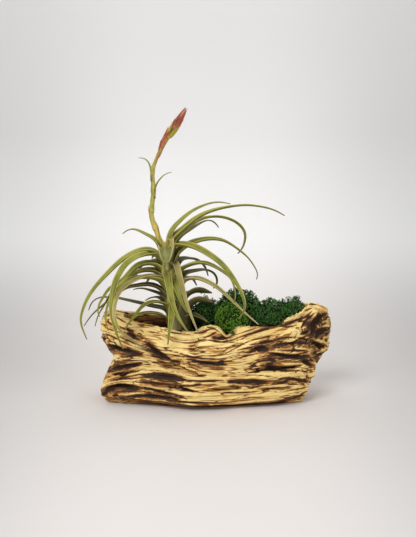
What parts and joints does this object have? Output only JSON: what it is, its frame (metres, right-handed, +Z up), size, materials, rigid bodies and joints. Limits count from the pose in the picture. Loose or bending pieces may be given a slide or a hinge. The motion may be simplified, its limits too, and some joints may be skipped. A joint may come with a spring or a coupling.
{
  "type": "air plant holder",
  "caption": "Cast driftwood-style log with a moss-lined trough in its top, holding a curling air plant in bloom.",
  "frame": {"origin": "centre of the log's flat resting face", "axes": "+Z up, +X along the log to the end with the tall horn, +Y away from the viewer, to the back of the log"},
  "size_m": [0.26, 0.1481, 0.303],
  "materials": {
    "cast_log": "matte",
    "moss_dark": "matte",
    "moss_bright": "matte",
    "stem_sheath": "satin",
    "leaf_fresh": "satin",
    "leaf_old": "satin",
    "scape": "satin",
    "flower_bract": "satin"
  },
  "bodies": {
    "planter": {"driftwood_log": "cast_log", "moss_bed": "moss_dark", "moss_clump_back": "moss_dark", "moss_clump_front": "moss_bright", "moss_clump_low": "moss_dark", "moss_clump_middle": "moss_dark", "moss_clump_right": "moss_dark", "moss_clump_stem": "moss_dark"},
    "air_plant": {"flower_lower": "flower_bract", "flower_scape": "scape", "flower_upper": "flower_bract", "leaf_back_01": "leaf_old", "leaf_back_02": "leaf_old", "leaf_back_03": "leaf_old", "leaf_back_04": "leaf_old", "leaf_back_05": "leaf_old", "leaf_back_06": "leaf_old", "leaf_back_07": "leaf_old", "leaf_back_08": "leaf_old", "leaf_back_09": "leaf_old", "leaf_back_10": "leaf_old", "leaf_back_11": "leaf_old", "leaf_back_12": "leaf_old", "leaf_front_01": "leaf_fresh", "leaf_front_02": "leaf_fresh", "leaf_front_03": "leaf_fresh", "leaf_front_04": "leaf_fresh", "leaf_front_05": "leaf_fresh", "leaf_front_06": "leaf_fresh", "leaf_left_01": "leaf_fresh", "leaf_left_02": "leaf_fresh", "leaf_left_03": "leaf_fresh", "leaf_left_04": "leaf_fresh", "leaf_left_05": "leaf_old", "leaf_left_06": "leaf_fresh", "leaf_left_07": "leaf_old", "leaf_left_08": "leaf_old", "leaf_left_09": "leaf_old", "leaf_left_10": "leaf_fresh", "leaf_left_11": "leaf_fresh", "leaf_left_12": "leaf_fresh", "leaf_right_01": "leaf_fresh", "leaf_right_02": "leaf_old", "leaf_right_03": "leaf_old", "leaf_right_04": "leaf_fresh", "leaf_right_05": "leaf_fresh", "leaf_right_06": "leaf_fresh", "leaf_right_07": "leaf_fresh", "leaf_right_08": "leaf_old", "leaf_right_09": "leaf_old", "leaf_right_10": "leaf_old", "leaf_right_11": "leaf_old", "leaf_right_12": "leaf_old", "plant_stem": "stem_sheath", "scape_leaf_left": "scape", "scape_leaf_right": "scape"}
  },
  "joints": [
    {"name": "plant_lift", "type": "slide", "parent": "planter", "child": "air_plant", "axis": [0, 0, 1], "range_m": [0, 0.06]}
  ]
}
